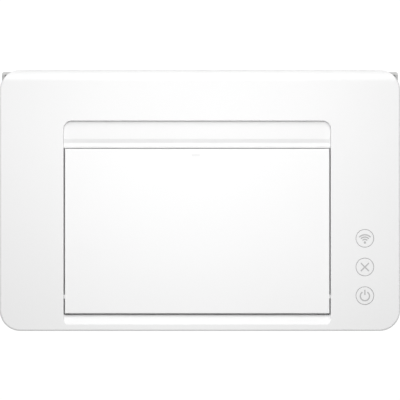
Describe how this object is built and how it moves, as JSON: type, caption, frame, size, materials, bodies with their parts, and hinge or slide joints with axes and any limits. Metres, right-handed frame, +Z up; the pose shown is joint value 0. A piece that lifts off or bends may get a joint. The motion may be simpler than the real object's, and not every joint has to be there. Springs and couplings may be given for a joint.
{
  "type": "laser printer",
  "caption": "Compact desktop laser printer: hinged top cover with a recessed output flap, fold-down front tray door, rear access door and push buttons at the right",
  "frame": {"origin": "middle of the footprint, on the surface that the feet stand on", "axes": "+X to the right seen from the front, +Y to the rear, +Z up"},
  "size_m": [0.331, 0.2158, 0.178],
  "materials": {
    "body_white_abs": "fine moulded texture",
    "cover_white_abs": "fine moulded texture",
    "flap_white_abs": "satin",
    "bed_white_abs": "satin",
    "button_white_abs": "satin with printed symbols",
    "dark_frame_plastic": "moulded",
    "cartridge_plastic": "moulded",
    "gear_acetal": "moulded",
    "roller_rubber": "ground rubber",
    "foot_rubber": "moulded rubber",
    "white_roller_plastic": "moulded",
    "drum_coating": "coated aluminium tube",
    "heat_sleeve": "coated aluminium tube",
    "zinc_steel": "zinc plated",
    "sintered_bronze": "sintered",
    "motor_steel": "plated",
    "scanner_cover_steel": "plated",
    "polished_mirror": "polished",
    "circuit_board": "solder mask",
    "socket_black": "moulded"
  },
  "bodies": {
    "root": {"front_frame": "body_white_abs", "left_side_cover": "body_white_abs", "right_side_cover": "body_white_abs", "rear_cover": "body_white_abs", "base_frame": "dark_frame_plastic", "tray_pan": "dark_frame_plastic", "transport_guide": "dark_frame_plastic", "fuser_frame": "dark_frame_plastic", "left_side_frame": "dark_frame_plastic", "right_side_frame": "dark_frame_plastic", "fan_frame": "dark_frame_plastic", "scanner_housing": "dark_frame_plastic", "toner_cartridge": "cartridge_plastic", "separation_pad": "roller_rubber", "rubber_feet": "foot_rubber", "scanner_shelf": "zinc_steel", "lift_springs": "zinc_steel", "gear_studs": "zinc_steel", "cover_screws": "zinc_steel", "bearing_bushes": "sintered_bronze", "main_motor": "motor_steel", "scanner_cover": "scanner_cover_steel", "main_board": "circuit_board", "power_board": "circuit_board", "inlet_socket": "socket_black"},
    "cover": {"top_cover": "cover_white_abs", "exit_hood": "cover_white_abs", "output_bed": "bed_white_abs", "cover_hinge_pins": "zinc_steel", "control_board": "circuit_board"},
    "flap": {"output_flap": "flap_white_abs"},
    "wireless_key": {"wireless_button": "button_white_abs"},
    "cancel_key": {"cancel_button": "button_white_abs"},
    "power_key": {"power_button": "button_white_abs"},
    "tray_door": {"front_door": "body_white_abs"},
    "access_door": {"rear_door": "body_white_abs"},
    "lift": {"lift_plate": "zinc_steel"},
    "left_guide": {"left_paper_guide": "dark_frame_plastic"},
    "right_guide": {"right_paper_guide": "dark_frame_plastic"},
    "guide_gear": {"guide_pinion": "gear_acetal"},
    "drum_unit": {"drum": "drum_coating", "drum_gear": "gear_acetal"},
    "scan_mirror": {"polygon_mirror": "polished_mirror"},
    "fan_wheel": {"fan_rotor": "dark_frame_plastic"},
    "developer_roller": {"developer_roller": "roller_rubber"},
    "transfer_roller": {"transfer_roller": "roller_rubber"},
    "reduction_gear": {"reduction_gear": "gear_acetal"},
    "motor_rotor": {"motor_pinion": "gear_acetal"},
    "fuser_idler": {"fuser_idler_gear": "gear_acetal"},
    "heat_roller": {"heat_roller": "heat_sleeve", "fuser_gear": "gear_acetal"},
    "pressure_roller": {"pressure_roller": "roller_rubber"},
    "lower_exit_gear": {"lower_exit_gear": "gear_acetal"},
    "upper_exit_gear": {"upper_exit_gear": "gear_acetal"},
    "exit_roller": {"exit_roller": "roller_rubber"},
    "exit_idler_roller": {"exit_idler_roller": "white_roller_plastic"},
    "feed_idler_gear": {"feed_idler_gear": "gear_acetal"},
    "feed_roller": {"feed_roller": "roller_rubber"},
    "feed_pinch_roller": {"feed_idler_roller": "white_roller_plastic"},
    "pickup_roller": {"pickup_roller": "roller_rubber"}
  },
  "joints": [
    {"name": "top_cover_hinge", "type": "hinge", "parent": "root", "child": "cover", "pos_m": [0, 0.0984, 0.1685], "axis": [-1, 0, 0], "range_deg": [0, 60]},
    {"name": "output_flap_hinge", "type": "hinge", "parent": "cover", "child": "flap", "pos_m": [0, -0.0797, 0.171], "axis": [1, 0, 0], "range_deg": [0, 140]},
    {"name": "wireless_press", "type": "slide", "parent": "cover", "child": "wireless_key", "axis": [0, 0, -1], "range_m": [0, 0.0012], "stiffness_N_per_m": 800, "springref_m": -0.0005},
    {"name": "cancel_press", "type": "slide", "parent": "cover", "child": "cancel_key", "axis": [0, 0, -1], "range_m": [0, 0.0012], "stiffness_N_per_m": 800, "springref_m": -0.0005},
    {"name": "power_press", "type": "slide", "parent": "cover", "child": "power_key", "axis": [0, 0, -1], "range_m": [0, 0.0012], "stiffness_N_per_m": 800, "springref_m": -0.0005},
    {"name": "front_door_hinge", "type": "hinge", "parent": "root", "child": "tray_door", "pos_m": [0, -0.0991, 0.0135], "axis": [1, 0, 0], "range_deg": [0, 90]},
    {"name": "rear_door_hinge", "type": "hinge", "parent": "root", "child": "access_door", "pos_m": [0, 0.1025, 0.034], "axis": [-1, 0, 0], "range_deg": [0, 80]},
    {"name": "lift_plate_hinge", "type": "hinge", "parent": "root", "child": "lift", "pos_m": [0, -0.0596, 0.0135], "axis": [-1, 0, 0], "range_deg": [0, 12], "stiffness_Nm_per_rad": 0.5, "springref_deg": -34.38},
    {"name": "left_guide_slide", "type": "slide", "parent": "root", "child": "left_guide", "axis": [1, 0, 0], "range_m": [0, 0.052]},
    {"name": "right_guide_slide", "type": "slide", "parent": "root", "child": "right_guide", "axis": [-1, 0, 0], "range_m": [0, 0.052]},
    {"name": "guide_gear_turn", "type": "hinge", "parent": "root", "child": "guide_gear", "pos_m": [0, -0.0796, 0.0085], "axis": [0, 0, -1], "range_deg": [0, 399]},
    {"name": "drum_spin", "type": "hinge", "parent": "root", "child": "drum_unit", "pos_m": [0, 0.0524, 0.0695], "axis": [1, 0, 0], "continuous": true},
    {"name": "developer_spin", "type": "hinge", "parent": "root", "child": "developer_roller", "pos_m": [0, 0.0334, 0.07389], "axis": [1, 0, 0], "continuous": true},
    {"name": "transfer_spin", "type": "hinge", "parent": "root", "child": "transfer_roller", "pos_m": [0, 0.0524, 0.05], "axis": [1, 0, 0], "continuous": true},
    {"name": "reduction_spin", "type": "hinge", "parent": "root", "child": "reduction_gear", "pos_m": [0, 0.04696, 0.08978], "axis": [1, 0, 0], "continuous": true},
    {"name": "motor_spin", "type": "hinge", "parent": "root", "child": "motor_rotor", "pos_m": [0, 0.01697, 0.08978], "axis": [1, 0, 0], "continuous": true},
    {"name": "fuser_idler_spin", "type": "hinge", "parent": "root", "child": "fuser_idler", "pos_m": [0, 0.07361, 0.06198], "axis": [1, 0, 0], "continuous": true},
    {"name": "heat_roller_spin", "type": "hinge", "parent": "root", "child": "heat_roller", "pos_m": [0, 0.0844, 0.08], "axis": [1, 0, 0], "continuous": true},
    {"name": "pressure_roller_spin", "type": "hinge", "parent": "root", "child": "pressure_roller", "pos_m": [0, 0.0844, 0.0577], "axis": [1, 0, 0], "continuous": true},
    {"name": "lower_exit_spin", "type": "hinge", "parent": "root", "child": "lower_exit_gear", "pos_m": [0, 0.08662, 0.1054], "axis": [1, 0, 0], "continuous": true},
    {"name": "upper_exit_spin", "type": "hinge", "parent": "root", "child": "upper_exit_gear", "pos_m": [0, 0.06876, 0.1295], "axis": [1, 0, 0], "continuous": true},
    {"name": "exit_roller_spin", "type": "hinge", "parent": "root", "child": "exit_roller", "pos_m": [0, 0.0684, 0.152], "axis": [1, 0, 0], "continuous": true},
    {"name": "exit_idler_spin", "type": "hinge", "parent": "root", "child": "exit_idler_roller", "pos_m": [0, 0.0684, 0.1397], "axis": [1, 0, 0], "continuous": true},
    {"name": "feed_idler_spin", "type": "hinge", "parent": "root", "child": "feed_idler_gear", "pos_m": [0, 0.04429, 0.03921], "axis": [1, 0, 0], "continuous": true},
    {"name": "feed_roller_spin", "type": "hinge", "parent": "root", "child": "feed_roller", "pos_m": [0, 0.0344, 0.046], "axis": [1, 0, 0], "continuous": true},
    {"name": "feed_pinch_spin", "type": "hinge", "parent": "root", "child": "feed_pinch_roller", "pos_m": [0, 0.0344, 0.0583], "axis": [1, 0, 0], "continuous": true},
    {"name": "pickup_spin", "type": "hinge", "parent": "root", "child": "pickup_roller", "pos_m": [0, 0.00922, 0.05], "axis": [1, 0, 0], "continuous": true},
    {"name": "polygon_mirror_spin", "type": "hinge", "parent": "root", "child": "scan_mirror", "pos_m": [0, -0.0016, 0.113], "axis": [0, 0, 1], "continuous": true},
    {"name": "fan_spin", "type": "hinge", "parent": "root", "child": "fan_wheel", "pos_m": [0, 0.0404, 0.086], "axis": [1, 0, 0], "continuous": true}
  ],
  "couplings": [
    {"joint": "right_guide_slide", "follows": "left_guide_slide", "ratio": 1},
    {"joint": "guide_gear_turn", "follows": "left_guide_slide", "rad_per_m": 133.33},
    {"joint": "developer_spin", "follows": "drum_spin", "ratio": -1.6},
    {"joint": "transfer_spin", "follows": "drum_spin", "ratio": -1.6},
    {"joint": "reduction_spin", "follows": "drum_spin", "ratio": -1.3333},
    {"joint": "motor_spin", "follows": "drum_spin", "ratio": 5.3333},
    {"joint": "fuser_idler_spin", "follows": "drum_spin", "ratio": -1.1429},
    {"joint": "heat_roller_spin", "follows": "drum_spin", "ratio": 1.1429},
    {"joint": "pressure_roller_spin", "follows": "drum_spin", "ratio": -1.1429},
    {"joint": "lower_exit_spin", "follows": "drum_spin", "ratio": -0.8},
    {"joint": "upper_exit_spin", "follows": "drum_spin", "ratio": 0.8},
    {"joint": "exit_roller_spin", "follows": "drum_spin", "ratio": -1.6},
    {"joint": "exit_idler_spin", "follows": "drum_spin", "ratio": 2.24},
    {"joint": "feed_idler_spin", "follows": "drum_spin", "ratio": 2},
    {"joint": "feed_roller_spin", "follows": "drum_spin", "ratio": -2},
    {"joint": "feed_pinch_spin", "follows": "drum_spin", "ratio": 2},
    {"joint": "pickup_spin", "follows": "drum_spin", "ratio": 0.61538}
  ]
}
